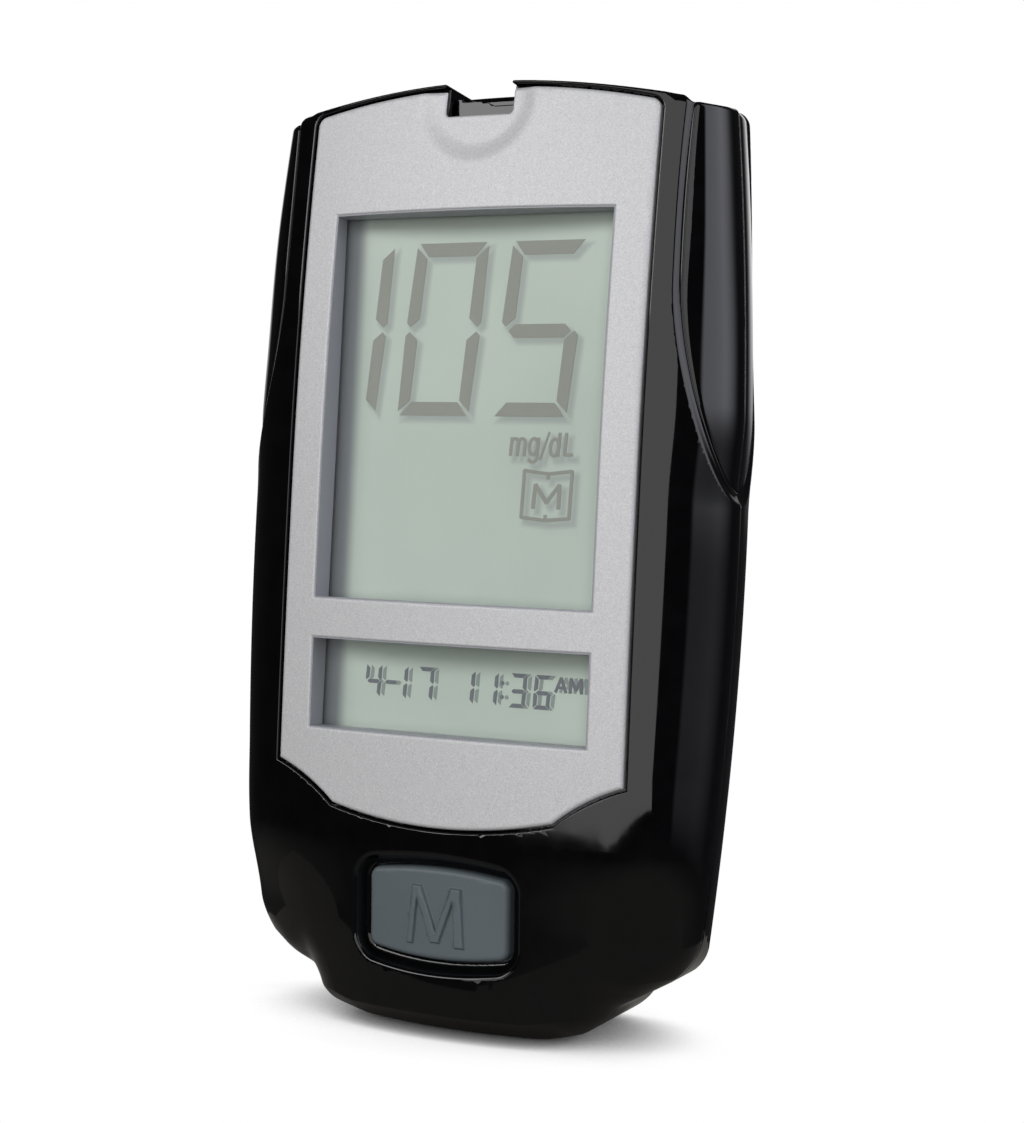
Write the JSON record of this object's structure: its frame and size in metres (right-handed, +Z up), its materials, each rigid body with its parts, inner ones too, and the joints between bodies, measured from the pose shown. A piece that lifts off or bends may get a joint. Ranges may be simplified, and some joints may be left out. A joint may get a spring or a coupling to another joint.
{
  "type": "blood glucose meter",
  "caption": "Handheld blood glucose meter with a crowned silver faceplate, segment display, large push button, top test-strip port and hinged battery cover.",
  "frame": {"origin": "middle of the bounding box's bottom, on the surface that the foot stands on", "axes": "+Z up along the meter's length, -Y out of the display, +Y out of the battery cover, +X to the right seen from the front"},
  "size_m": [0.0536, 0.025, 0.096],
  "materials": {
    "black_gloss": "piano black, high gloss",
    "silver_paint": "fine metallic silver paint, satin",
    "clear_window": "clear",
    "display": "grey-green reflective display",
    "dark_plastic": "satin",
    "grey_rubber": "matte",
    "board_green": "solder mask, satin",
    "chip_black": "moulded, matte",
    "component_tan": "ceramic",
    "contact_brass": "gold flash",
    "button_grey": "blue-grey, fine satin",
    "white_plastic": "satin",
    "cell": "printed sleeve, satin",
    "bright_steel": "nickel plate",
    "screw_steel": "zinc plate",
    "label": "matte foil"
  },
  "bodies": {
    "meter": {"front_case": "black_gloss", "rear_case": "black_gloss", "faceplate": "silver_paint", "display_lens": "clear_window", "lcd_glass": "display", "lcd_frame": "dark_plastic", "upper_connector": "grey_rubber", "lower_connector": "grey_rubber", "circuit_board": "board_green", "microcontroller": "chip_black", "crystal": "bright_steel", "board_components": "component_tan", "buzzer": "chip_black", "strip_port": "dark_plastic", "strip_contacts": "contact_brass", "button_dome": "grey_rubber", "set_switch": "chip_black", "battery_1": "cell", "battery_2": "cell", "bridge_contact": "bright_steel", "positive_contact": "bright_steel", "negative_contact": "bright_steel", "case_screws": "screw_steel", "board_screws": "screw_steel"},
    "battery_cover": {"battery_door": "black_gloss", "rating_label": "label"},
    "push_button": {"main_button": "button_grey"},
    "setting_button": {"set_button": "white_plastic"}
  },
  "joints": [
    {"name": "door_hinge", "type": "hinge", "parent": "meter", "child": "battery_cover", "pos_m": [0, 0.01175, 0.016], "axis": [-1, 0, 0], "range_deg": [0, 85]},
    {"name": "main_button_press", "type": "slide", "parent": "meter", "child": "push_button", "axis": [0, 1, 0], "range_m": [0, 0.0004], "stiffness_N_per_m": 3000, "deforming": ["button_dome"]},
    {"name": "set_button_press", "type": "slide", "parent": "meter", "child": "setting_button", "axis": [0, -1, 0], "range_m": [0, 0.00025], "stiffness_N_per_m": 4000}
  ]
}
